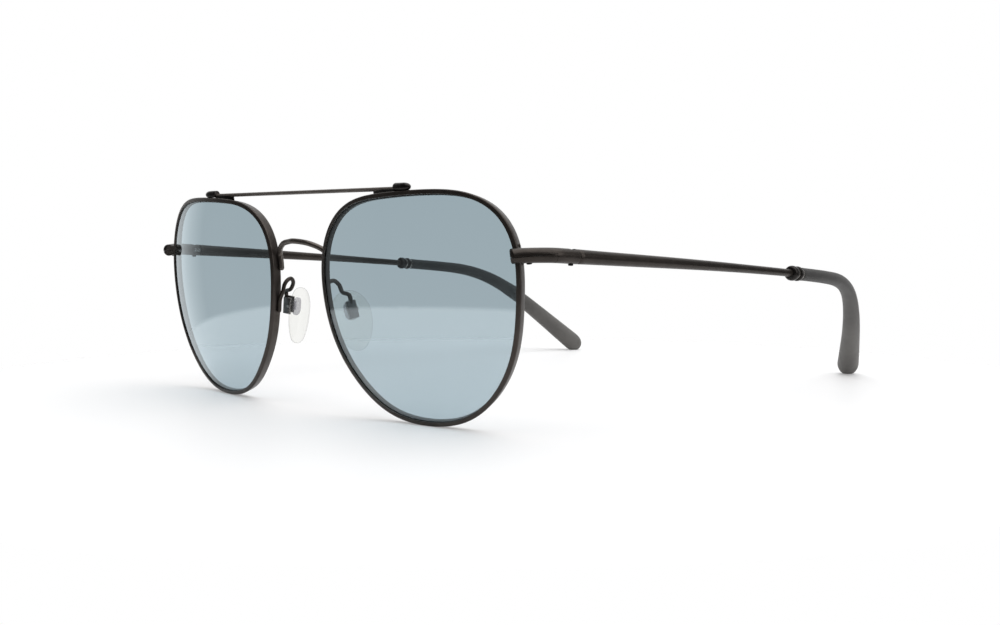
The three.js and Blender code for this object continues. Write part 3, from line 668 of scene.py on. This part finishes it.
# saddles between the bar and the eyewire, widening outwards
SADDLE_X0, SADDLE_X1 = 25.3, 32.2
OUTLINE_TOP_X = [22.6, 26.0, 29.2, 32.2, 35.2]
OUTLINE_TOP_Z = [21.78, 22.15, 22.46, 22.62, 22.72]
saddle_rings = []
for k in range(15):
    t = k / 14
    x = SADDLE_X0 + (SADDLE_X1 - SADDLE_X0) * t
    half = 0.12 + 0.44 * min(1, t * 2.2) ** 0.6
    rim_top = RIM_W + np.interp(x, OUTLINE_TOP_X, OUTLINE_TOP_Z)
    top = BAR_Z + 0.10 * min(1, t * 2) - 0.34 * (1 - min(1, t * 2.5))
    profile = round_poly([(-half, rim_top - 0.7), (half, rim_top - 0.7),
                          (half * 0.92, top), (-half * 0.92, top)],
                         [0.05, 0.05, half * 0.7, half * 0.7], 4)
    saddle_rings.append(xyz(x, BAR_Y + profile[:, 0], profile[:, 1]))
add_pairs(dict(name="brow_bar_bead", mesh=bead, material=dark_metal, slot="dark_metal",
               replaced="brow_bar_cap"),
          dict(name="brow_bar_saddle", mesh=skin(saddle_rings), material=dark_metal,
               slot="dark_metal", replaced="brow_bar_lug", sharp=45))


# ------------------------------------------------------------------ temples
def temple_dir(s):
    pitch = math.radians(np.interp(s, PITCH[:, 0], PITCH[:, 1]))
    yaw = math.radians(np.interp(s, YAW[:, 0], YAW[:, 1]))
    return vec(-math.sin(yaw) * math.cos(pitch), math.cos(yaw) * math.cos(pitch),
               -math.sin(pitch))


STEP = 0.1
temple_path = [HINGE]
for i in range(int(TEMPLE_L / STEP) + 12):
    temple_path.append(temple_path[-1] + temple_dir(i * STEP + STEP / 2) * STEP)
temple_path = np.array(temple_path)
temple_s = np.arange(len(temple_path)) * STEP


def on_temple(s):
    return vec(*[np.interp(s, temple_s, temple_path[:, k]) for k in range(3)])


def frame_at(direction):
    """the directions outwards and up, square to a direction running back"""
    outwards = unit(np.cross(direction, Z))
    return outwards, unit(np.cross(outwards, direction))


def sections(rows, segments, exponent=1.0):
    """rings from rows of (distance along the temple, half width, half height)"""
    wide, high = superellipse(segments, exponent)
    rings = []
    for s, width, height in rows:
        outwards, up = frame_at(temple_dir(s))
        rings.append(on_temple(s) + width * wide[:, None] * outwards
                     + height * high[:, None] * up)
    return rings


def turned(profile, segments=36, start=0.0):
    """round piece on the temple from (distance after start, radius)"""
    return skin(sections([(start + s, r, r) for s, r in profile], segments))


# (distance along the temple, radius)
ARM_TABLE = np.array([[0, 1.43], [3, 1.4], [8, 1.35], [20, 1.25], [40, 1.06], [55, 0.93],
                      [69, 0.86], [COLLAR_S + 0.3, 0.86]])
arm_s = np.r_[np.linspace(BUTT + 0.1, 66, 60), np.linspace(67, COLLAR_S + 0.3, 6)]
arm = turned([(BUTT, 1.34)] + [(s, np.interp(s, ARM_TABLE[:, 0], ARM_TABLE[:, 1]))
                               for s in arm_s], 32)
# thin wire inside the rubber
arm_core = turned([(s, 0.56) for s in np.linspace(COLLAR_S - 0.5, 124.9, 60)]
                  + [(125.2, 0.38)], 20)

# collar pieces: (distance from the collar start, radius)
COLLAR_PROFILE = [
    (-0.02, 0.86), (0.0, 1.1), (0.04, 1.3), (0.12, 1.46), (0.27, 1.59), (0.48, 1.68),
    (0.75, 1.72), (1.12, 1.72), (1.40, 1.68), (1.62, 1.59), (1.77, 1.46), (1.86, 1.32),
    (1.9, 1.2)]
WAIST_PROFILE = [(1.84, 1.25), (1.88, 1.34), (2.58, 1.34), (2.62, 1.25)]
RING_PROFILE = [
    (2.56, 1.25), (2.59, 1.42), (2.65, 1.56), (2.77, 1.65), (2.95, 1.685), (3.2, 1.685),
    (3.35, 1.64), (3.45, 1.55), (3.5, 1.44), (3.53, 1.3)]
LIP_PROFILE = [(3.48, 1.34), (3.52, 1.42), (4.2, 1.42), (4.27, 1.34)]
collar, waist, ring, lip = [turned(profile, start=COLLAR_S) for profile in
                            (COLLAR_PROFILE, WAIST_PROFILE, RING_PROFILE, LIP_PROFILE)]

# rubber tip: (distance along the temple, half width, half height), then a domed end
TIP_TABLE = np.array([
    [TIP_S - 0.02, 1.30, 1.30], [TIP_S + 0.03, 1.36, 1.38], [TIP_S + 0.12, 1.42, 1.45],
    [TIP_S + 0.4, 1.45, 1.49], [78, 1.41, 1.47], [90, 1.46, 1.52], [103, 1.62, 1.70],
    [115, 1.94, 2.01], [130, 2.34, 2.40], [141, 2.76, 2.73], [146, 2.82, 2.78]])
DOME_S, DOME_W, DOME_H, DOME_POWER = 141.6, 2.78, 2.75, 2.2
tip_s = np.r_[TIP_S + vec(-0.02, 0.03, 0.12, 0.25, 0.4, 0.8), np.linspace(78, DOME_S, 64)]
tip_rows = [(s, np.interp(s, TIP_TABLE[:, 0], TIP_TABLE[:, 1]),
             np.interp(s, TIP_TABLE[:, 0], TIP_TABLE[:, 2])) for s in tip_s]
for k in (0.12, 0.28, 0.44, 0.58, 0.70, 0.80, 0.88, 0.94, 0.98, 0.996):
    q = (1 - k ** DOME_POWER) ** (1 / DOME_POWER)
    tip_rows.append((DOME_S + (TEMPLE_L - DOME_S) * k, DOME_W * q, DOME_H * q))
tip = skin(sections(tip_rows, 40, exponent=2 / 2.06))
rest_flat(tip[0])

add_pairs(
    dict(name="temple_wire", mesh=merge(arm, arm_core), material=gunmetal,
         slot="frame_metal", replaced="temple_arm", body="temple"),
    dict(name="temple_collar", mesh=collar, material=dark_metal,
         slot="dark_metal", replaced="tip_collar", body="temple"),
    dict(name="temple_waist", mesh=merge(waist, lip), material=ring_metal,
         slot="dark_metal", body="temple"),
    dict(name="temple_ring", mesh=ring, material=dark_metal,
         slot="dark_metal", replaced="tip_ring", body="temple"),
    dict(name="rubber_tip", mesh=tip, material=rubber,
         slot="tip_rubber", replaced="temple_tip", body="temple"))

# ------------------------------------------------------------------ endpieces, closing halves
# hinge axes: x outwards, y back along the temple, z up
hinge_y = temple_dir(0)
hinge_x, hinge_z = frame_at(hinge_y)


def in_hinge(mesh):
    verts, faces = mesh
    return verts @ np.stack([hinge_x, hinge_y, hinge_z]) + HINGE, faces


def hinge_cylinder(radius, z0, z1, segments):
    return in_hinge(skin([circle(vec(0, 0, z), radius, X, Y, segments) for z in (z0, z1)]))


# the bar starts in a dome, follows a Bezier curve and ends straight through the hinge
END_START = vec(60.71, 6.08, 10.59)
END_CONTROLS = [END_START, vec(61.75, 8.2, 10.5), HINGE - 6.4 * hinge_y, HINGE - 3.0 * hinge_y]
END_DOME = [(-0.42, 0.55), (-0.38, 0.85), (-0.30, 1.1), (-0.18, 1.29), (-0.04, 1.4)]
END_CHAMFER = 0.08
END_SEGMENTS = 40
end_path = []
for k in range(31):
    t = k / 30
    weights = ((1 - t) ** 3, 3 * (1 - t) ** 2 * t, 3 * (1 - t) * t * t, t ** 3)
    end_path.append(sum(w * q for w, q in zip(weights, END_CONTROLS)))
end_path = np.array(end_path + [HINGE + s * hinge_y for s in (-1.5, 0, FORK_END)])
start_dir = unit(end_path[1] - end_path[0])
end_tangents = np.gradient(end_path, axis=0)
end_tangents[-4:] = hinge_y
end_rings = [circle(END_START + s * start_dir, r, *frame_at(start_dir), END_SEGMENTS)
             for s, r in END_DOME]
end_rings += [circle(q, TEMPLE_R, *frame_at(unit(t)), END_SEGMENTS)
              for q, t in zip(end_path[:-1], end_tangents)]
end_rings += [circle(end_path[-1] - back * hinge_y, r, *frame_at(hinge_y), END_SEGMENTS)
              for back, r in ((END_CHAMFER, TEMPLE_R), (0, TEMPLE_R - END_CHAMFER))]
end_bar = skin(end_rings)

aperture_stations = stations(np.linspace(0, 2 * math.pi, 120, endpoint=False))
aperture = skin([offset(aperture_stations, 0.0, forward) for forward in (-7, 4)])
GAP_Y, GAP_Z = 0.07, 0.07       # recess left around the closing half
recess = block((50, 80), (-10, LOCK_Y + GAP_Y), (0, SPLIT_Z + GAP_Z))
lower_front = block((50, 80), (-10, LOCK_Y), (0, SPLIT_Z - 0.03))
hinge_slot = in_hinge(block((-4, 0.98), (-1.0, 4), (-0.62, 0.62)))
# inner rear corner outside the rounding cylinder
hinge_corner = in_hinge(block((-4, 0), (0, 4), (-4, 4)))
hinge_round = hinge_cylinder(1.42, -5, 5, 48)
top_bore = hinge_cylinder(0.78, 0.91, 4, 32)

for side in SIDES:
    bar = add_piece("endpiece_bar", end_bar, gunmetal, "frame_metal", "endpiece",
                    sharp=CUT_SHARP, side=side)
    corner = boolean(new_object("tool", hinge_corner, side),
                     [new_object("tool", hinge_round, side)])
    bore = new_object("tool", top_bore, side)
    cutters = [new_object("tool", mesh, side) for mesh in (aperture, recess, hinge_slot)]
    boolean(bar, cutters + [corner, bore])
    closing = add_piece("closing_half", end_bar, gunmetal, "frame_metal", "closing_block",
                        sharp=CUT_SHARP, side=side)
    boolean(closing, [new_object("tool", aperture, side)])
    boolean(closing, [new_object("tool", lower_front, side)], "INTERSECT")

# ------------------------------------------------------------------ nose pads
# pad axes: x across, y down the pad, z to its face (towards the nose and back)
pad_y = unit(vec(0.247, 0.0, -0.969))
pad_z = vec(-math.cos(PAD_SPLAY), math.sin(PAD_SPLAY), 0)
pad_z = unit(pad_z - (pad_z @ pad_y) * pad_y)
pad_x = np.cross(pad_y, pad_z)


def in_pad(x, y, z):
    return xyz(x, y, z) @ np.stack([pad_x, pad_y, pad_z]) + PAD_C


# half outline: (share of the length, share of the half width), top to bottom
PAD_OUTLINE = np.array([
    [-0.5, 0], [-0.487, 0.22], [-0.46, 0.42], [-0.40, 0.64], [-0.30, 0.86], [-0.16, 1.0],
    [0.0, 0.985], [0.15, 0.9], [0.28, 0.75], [0.39, 0.55], [0.455, 0.36], [0.49, 0.18],
    [0.5, 0]])
# (share of the full outline, z)
PAD_LAYERS = [
    (0.2, -1.17), (0.45, -1.16), (0.66, -1.12), (0.8, -1.0), (0.9, -0.82), (0.96, -0.58),
    (0.995, -0.3), (1.0, 0.0), (0.985, 0.26), (0.94, 0.52), (0.86, 0.78), (0.74, 0.99),
    (0.58, 1.14), (0.38, 1.22), (0.18, 1.25)]
pad_outline = catmull(np.c_[PAD_OUTLINE, np.zeros(len(PAD_OUTLINE))], 33)


def pad_ring(share, z):
    y = pad_outline[:, 0] * PAD_L * (1 - 0.5 * (1 - share) * PAD_W / PAD_L)
    x = pad_outline[:, 1] * PAD_W / 2 * share
    x, y = np.r_[x[:-1], -x[:0:-1]], np.r_[y[:-1], y[:0:-1]]
    return in_pad(x, y, z - 0.005 * y ** 2)


pad = skin([pad_ring(share, z) for share, z in PAD_LAYERS])

# insert: an oval plate in the pad with a boss behind it
plate_x, plate_y = superellipse(40, 0.7)
plate = skin([in_pad(1.4 * plate_x * k, PIVOT_Y + 2.0 * plate_y * k, z)
              for k, z in ((0.93, -1.22), (1.0, -1.14), (1.0, -0.46), (0.95, -0.4))])
boss_profile = round_poly(
    [(-1.0, -1.15), (-0.95, PIVOT_Z + 0.1), (-0.6, PIVOT_Z - 0.6),
     (0.6, PIVOT_Z - 0.6), (0.95, PIVOT_Z + 0.1), (1.0, -1.15)],
    [0, 0.3, 0.5, 0.5, 0.3, 0], 5)
boss = skin([in_pad(x, PIVOT_Y + boss_profile[:, 0] * k,
                    PIVOT_Z + (boss_profile[:, 1] - PIVOT_Z) * k)
             for x, k in ((-0.55, 0.95), (-0.5, 1.0), (0.5, 1.0), (0.55, 0.95))])

# cup: a U-shaped channel round the boss, open towards the pad
CUP_FRONT, CUP_BACK, CUP_FLOOR, CUP_OUT, CUP_IN, CUP_HALF = -1.9, -3.8, -3.4, 1.0, 0.64, 1.9
cup_profile = round_poly(
    [(-CUP_OUT, CUP_FRONT), (-CUP_OUT, CUP_BACK), (CUP_OUT, CUP_BACK), (CUP_OUT, CUP_FRONT),
     (CUP_IN, CUP_FRONT), (CUP_IN, CUP_FLOOR), (-CUP_IN, CUP_FLOOR), (-CUP_IN, CUP_FRONT)],
    [0.08, 0.3, 0.3, 0.08, 0.06, 0.08, 0.08, 0.06], 4)
cup = skin([in_pad(cup_profile[:, 0] * k, PIVOT_Y + y, cup_profile[:, 1])
            for y, k in ((-CUP_HALF, 0.93), (-1.84, 0.985), (-1.74, 1.0),
                         (1.74, 1.0), (1.84, 0.985), (CUP_HALF, 0.93))])

# pad wire: from the eyewire, round a bend behind it, down to the top of the cup
cup_top = in_pad(0, PIVOT_Y - CUP_HALF, -3.42)
pad_wire_points = [
    off_rim(184, PAD_ARM_R - 0.02, -1.5), off_rim(178, PAD_ARM_R, -1.6),
    vec(8.32, 2.95, 2.2), vec(8.12, 3.45, 3.75), vec(8.12, 4.4, 4.62), vec(8.3, 5.5, 4.78),
    vec(8.8, 6.3, 3.8), vec(9.85, 6.2, 2.3), cup_top - 1.15 * pad_y - 0.12 * pad_z,
    cup_top + 0.5 * pad_y]
pad_wire = swept(catmull(pad_wire_points, 90), PAD_ARM_R, 20, round_ends=True)

add_pairs(
    dict(name="pad_wire", mesh=pad_wire, material=gunmetal, slot="frame_metal",
         replaced="pad_arm"),
    dict(name="pad_cup", mesh=cup, material=cup_metal, slot="dark_metal",
         replaced="pad_box", sharp=40),
    dict(name="silicone_pad", mesh=pad, material=silicone, slot="pad_silicone",
         replaced="nose_pad", body="pad", sharp=60),
    dict(name="pad_insert", mesh=merge(plate, boss), material=insert_plastic, slot="pad_core",
         replaced="nose_pad_core", body="pad", sharp=40))

# ------------------------------------------------------------------ solder on the eyewires
# (degrees round the rim, out, forward, radius, stretch in x, y, z)
SOLDER = [
    (158.6, 0.1, -2.0, 0.34, (0.9, 0.9, 1.7)),
    (161.8, 0.1, -2.0, 0.34, (0.9, 0.9, 1.7)),
    (181, 0.05, -1.5, 0.36, (0.9, 1.0, 1.9)),
    (26.0, -0.06, -1.25, 0.40, (0.75, 1.1, 1.05)),
    (19.4, -0.06, -1.25, 0.40, (0.75, 1.1, 1.05))]


def blob(centre, radius, stretch):
    """slightly uneven ellipsoid"""
    sx, sy, sz = stretch
    a = np.linspace(0, 2 * math.pi, 20, endpoint=False)
    rings = []
    for k in range(1, 9):
        t = math.pi * k / 9
        uneven = math.sin(t) * (1 + 0.06 * np.sin(3 * a + k))
        rings.append(centre + radius * xyz(sx * np.cos(a) * uneven, sy * np.sin(a) * uneven,
                                           sz * math.cos(t)))
    return skin_poles(rings, centre + radius * sz * Z, centre - radius * sz * Z)


solder = merge(*[blob(off_rim(degrees, out, forward), radius, stretch)
                 for degrees, out, forward, radius, stretch in SOLDER])
add_pairs(dict(name="solder", mesh=solder, material=gunmetal, slot="frame_metal", sharp=60))

# ------------------------------------------------------------------ CAD screws and tongues
KEPT = {"closing_screw": dark_metal, "hinge_screw": dark_metal,
        "hinge_tongue": bare_metal, "pad_screw": bare_metal}
for name, o in frame["nodes"].items():
    kind = name.replace("_left", "").replace("_right", "")
    if kind in KEPT:
        o.data.materials.clear()
        o.data.materials.append(KEPT[kind])
        bevel = o.modifiers.new("edge", "BEVEL")
        bevel.width, bevel.segments = 0.00004, 2
        bevel.limit_method, bevel.angle_limit = "ANGLE", math.radians(50)
        bevel.harden_normals = False

# ------------------------------------------------------------------ table (m)
TABLE = vec(0.0093, -0.0240, -0.00002)
TABLE_R = 0.1535


def table_material():
    """pale, slightly glowing so shadows stay faint; the rim melts into the backdrop"""
    material, s = new_material("pale_floor")
    at = s.coords()
    colour = s.mix((0.71, 0.71, 0.714), (0.70, 0.70, 0.704), s.noise(at, scale=12, detail=3))
    from_middle = s.vector("SUBTRACT", at, tuple(TABLE))[0]
    distance = s.vector("LENGTH", from_middle)["Value"]
    rim_fade = s.map_range(distance, low=TABLE_R - 0.012, high=TABLE_R + 0.004,
                           kind="SMOOTHSTEP")
    glow = s.map_range(distance, low=0.07, high=0.125, to_low=0.19, to_high=0.235,
                       kind="SMOOTHSTEP")
    surface = s.node("BsdfPrincipled", {
        "Base Color": colour, "Emission Color": (1, 1, 1), "Roughness": 0.5,
        "Specular IOR Level": 0.15,
        "Emission Strength": 0.22})     # used only if the glow below is unlinked
    s.links.new(glow, surface.inputs["Emission Strength"])
    clear = s.node("BsdfTransparent").outputs[0]
    s.finish(s.mix_shader(rim_fade, surface.outputs[0], clear))
    return material


table_surface = table_material()
table_verts = np.vstack([TABLE, circle(TABLE, TABLE_R + 0.0045, X, Y, 160)])
table_data = bpy.data.meshes.new("floor")
table_data.from_pydata(table_verts.tolist(), [],
                       [(0, 1 + j, 1 + (j + 1) % 160) for j in range(160)])
table = bpy.data.objects.new("floor", table_data)
bpy.context.scene.collection.objects.link(table)
table_data.materials.append(table_surface)

# ------------------------------------------------------------------ world
BRIGHT_SIDE = (-0.70, 0.71, 0.05)
# room brightness from the side facing away from BRIGHT_SIDE (0) to BRIGHT_SIDE (1)
ROOM = [(0.0, 0.10), (0.50, 0.10), (0.74, 0.20), (0.88, 1), (1.0, 1)]

studio = bpy.data.worlds.new("studio")
bpy.context.scene.world = studio
studio.use_nodes = True
s = Shader(studio.node_tree, "OutputWorld")
facing = s.vector("DOT_PRODUCT", s.node("TexCoord").outputs["Generated"], BRIGHT_SIDE)["Value"]
facing = s.math("ADD", s.math("MULTIPLY", facing, 0.5), 0.5)
room_colour = s.ramp(facing, [(position, (grey,) * 3) for position, grey in ROOM])
room = s.node("Background", {"Color": room_colour, "Strength": 1.0}).outputs[0]
# the camera, directly or through the glass, sees plain white
plain = s.node("Background", {"Color": (1.0, 1.0, 1.0)}).outputs[0]
ray = s.node("LightPath").outputs
seen = s.math("MAXIMUM", ray["Is Camera Ray"], ray["Is Transmission Ray"])
s.finish(s.mix_shader(seen, room, plain))

# ------------------------------------------------------------------ lights (m, W)
LIGHT_TARGET = vec(0, -0.02, 0)


def area(name, place, size, power):
    light = bpy.data.lights.new(name, "AREA")
    light.shape, light.size, light.energy = "SQUARE", size, power
    o = bpy.data.objects.new(name, light)
    bpy.context.scene.collection.objects.link(o)
    o.location = place
    back = unit(vec(*place) - LIGHT_TARGET)
    right = unit(np.cross(Z, back))
    o.rotation_euler = Matrix(np.stack([right, np.cross(back, right), back], 1).tolist()).to_euler()


area("key_top", place=(0.12, 0.03, 0.92), size=1.3, power=12.0)
area("fill_right", place=(0.9, 0.23, 0.37), size=0.6, power=2.6)

# ------------------------------------------------------------------ camera
CAMERA_PLACE = vec(221.957, -156.347, 33.555)           # mm, upright axes
CAM_YAW, CAM_PITCH, CAM_ROLL = 0.7946, 0.1440, -0.0820  # radians, upright axes

camera_data = bpy.data.cameras.new("camera")
camera = bpy.data.objects.new("camera", camera_data)
bpy.context.scene.collection.objects.link(camera)
back = vec(math.sin(CAM_YAW) * math.cos(CAM_PITCH), -math.cos(CAM_YAW) * math.cos(CAM_PITCH),
           math.sin(CAM_PITCH))
level = vec(math.cos(CAM_YAW), math.sin(CAM_YAW), 0)
upright = np.cross(back, level)
right = math.cos(CAM_ROLL) * level + math.sin(CAM_ROLL) * upright
up = -math.sin(CAM_ROLL) * level + math.cos(CAM_ROLL) * upright
columns = [TILT @ q for q in (right, up, back)] + [world(CAMERA_PLACE)]
camera.matrix_world = Matrix(np.stack(columns, 1).tolist() + [[0, 0, 0, 1]])
camera_data.sensor_width, camera_data.lens = 36.0, 45.0
camera_data.clip_start, camera_data.clip_end = 0.01, 20
bpy.context.scene.camera = camera
bpy.context.scene.view_settings.view_transform = "Standard"
bpy.context.scene.view_settings.look = "None"
